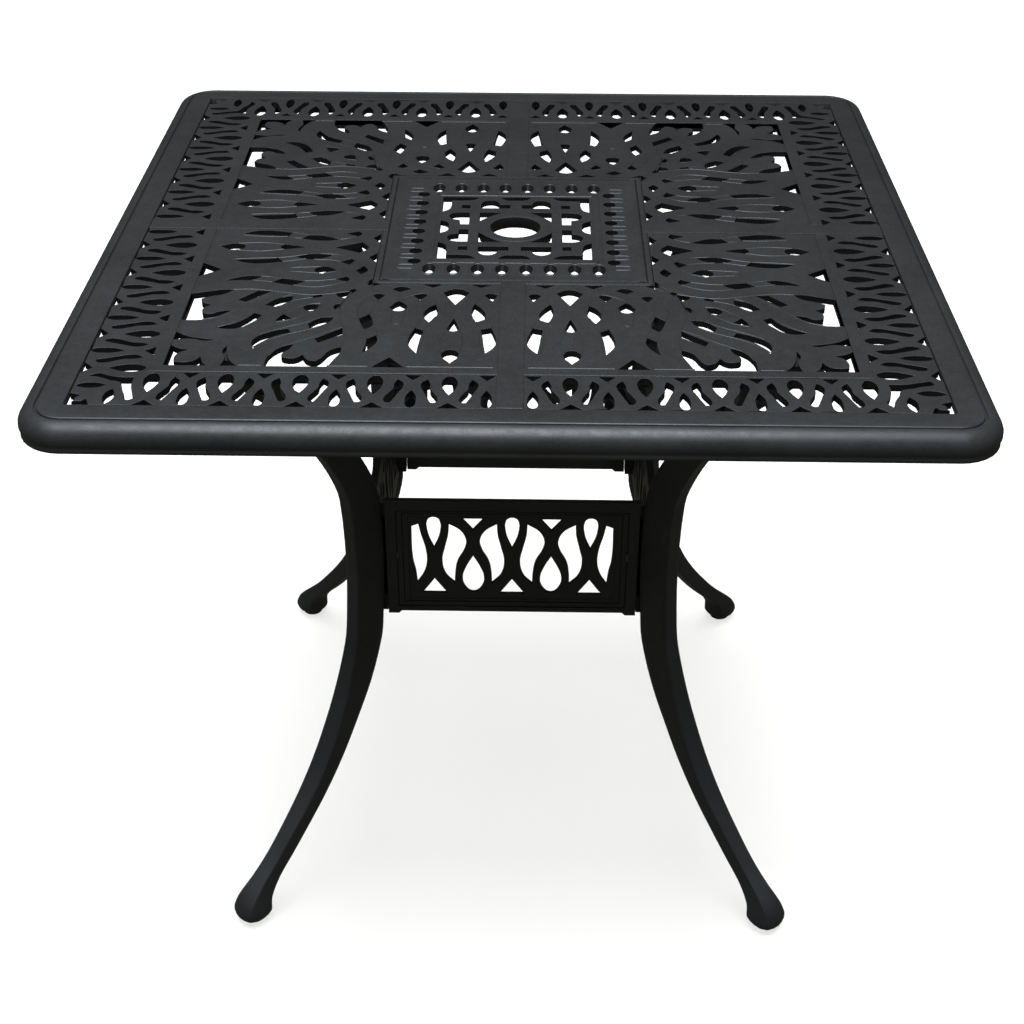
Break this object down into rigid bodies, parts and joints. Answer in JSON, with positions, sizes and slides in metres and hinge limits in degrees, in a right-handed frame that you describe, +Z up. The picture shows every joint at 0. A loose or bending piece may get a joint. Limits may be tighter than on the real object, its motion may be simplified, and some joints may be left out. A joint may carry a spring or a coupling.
{
  "type": "umbrella table",
  "caption": "Square cast aluminium patio table with an openwork top, a hole for an umbrella pole, curved splayed legs and openwork aprons.",
  "frame": {"origin": "on the floor under the middle of the table", "axes": "+Z up; +X to the right and -Y to the front, square with the table's edges; long drain holes along +Y"},
  "size_m": [0.864, 0.864, 0.737],
  "materials": {
    "powder_coat": "dark grey powder coat on cast aluminium, fine cast texture, satin",
    "glide_plastic": "black moulded plastic, matte",
    "zinc_steel": "zinc-plated steel, satin"
  },
  "bodies": {
    "table": {"rim": "powder_coat", "centre_panel": "powder_coat", "divider_back_right": "powder_coat", "fan_panel_back_right": "powder_coat", "border_lattice_back_right": "powder_coat", "leg_back_right": "powder_coat", "divider_back_left": "powder_coat", "fan_panel_back_left": "powder_coat", "border_lattice_back_left": "powder_coat", "leg_back_left": "powder_coat", "divider_front_left": "powder_coat", "fan_panel_front_left": "powder_coat", "border_lattice_front_left": "powder_coat", "leg_front_left": "powder_coat", "divider_front_right": "powder_coat", "fan_panel_front_right": "powder_coat", "border_lattice_front_right": "powder_coat", "leg_front_right": "powder_coat", "cross_rib_back": "powder_coat", "apron_back": "powder_coat", "cross_rib_left": "powder_coat", "apron_left": "powder_coat", "cross_rib_front": "powder_coat", "apron_front": "powder_coat", "cross_rib_right": "powder_coat", "apron_right": "powder_coat", "leg_screws": "zinc_steel", "apron_screws": "zinc_steel"},
    "pad_back_right": {"glide_pad_back_right": "glide_plastic"},
    "stud_back_right": {"glide_stud_back_right": "zinc_steel"},
    "pad_back_left": {"glide_pad_back_left": "glide_plastic"},
    "stud_back_left": {"glide_stud_back_left": "zinc_steel"},
    "pad_front_left": {"glide_pad_front_left": "glide_plastic"},
    "stud_front_left": {"glide_stud_front_left": "zinc_steel"},
    "pad_front_right": {"glide_pad_front_right": "glide_plastic"},
    "stud_front_right": {"glide_stud_front_right": "zinc_steel"}
  },
  "joints": [
    {"name": "glide_lift_back_right", "type": "slide", "parent": "table", "child": "pad_back_right", "axis": [0, 0, -1], "range_m": [0, 0.0081]},
    {"name": "stud_turn_back_right", "type": "hinge", "parent": "pad_back_right", "child": "stud_back_right", "pos_m": [0.2965, 0.2965, 0.008], "axis": [0, 0, -1], "range_deg": [0, 2304]},
    {"name": "glide_lift_back_left", "type": "slide", "parent": "table", "child": "pad_back_left", "axis": [0, 0, -1], "range_m": [0, 0.0081]},
    {"name": "stud_turn_back_left", "type": "hinge", "parent": "pad_back_left", "child": "stud_back_left", "pos_m": [-0.2965, 0.2965, 0.008], "axis": [0, 0, -1], "range_deg": [0, 2304]},
    {"name": "glide_lift_front_left", "type": "slide", "parent": "table", "child": "pad_front_left", "axis": [0, 0, -1], "range_m": [0, 0.0081]},
    {"name": "stud_turn_front_left", "type": "hinge", "parent": "pad_front_left", "child": "stud_front_left", "pos_m": [-0.2965, -0.2965, 0.008], "axis": [0, 0, -1], "range_deg": [0, 2304]},
    {"name": "glide_lift_front_right", "type": "slide", "parent": "table", "child": "pad_front_right", "axis": [0, 0, -1], "range_m": [0, 0.0081]},
    {"name": "stud_turn_front_right", "type": "hinge", "parent": "pad_front_right", "child": "stud_front_right", "pos_m": [0.2965, -0.2965, 0.008], "axis": [0, 0, -1], "range_deg": [0, 2304]}
  ],
  "couplings": [
    {"joint": "glide_lift_back_right", "follows": "stud_turn_back_right", "m_per_rad": 0.00019894},
    {"joint": "glide_lift_back_left", "follows": "stud_turn_back_left", "m_per_rad": 0.00019894},
    {"joint": "glide_lift_front_left", "follows": "stud_turn_front_left", "m_per_rad": 0.00019894},
    {"joint": "glide_lift_front_right", "follows": "stud_turn_front_right", "m_per_rad": 0.00019894}
  ]
}
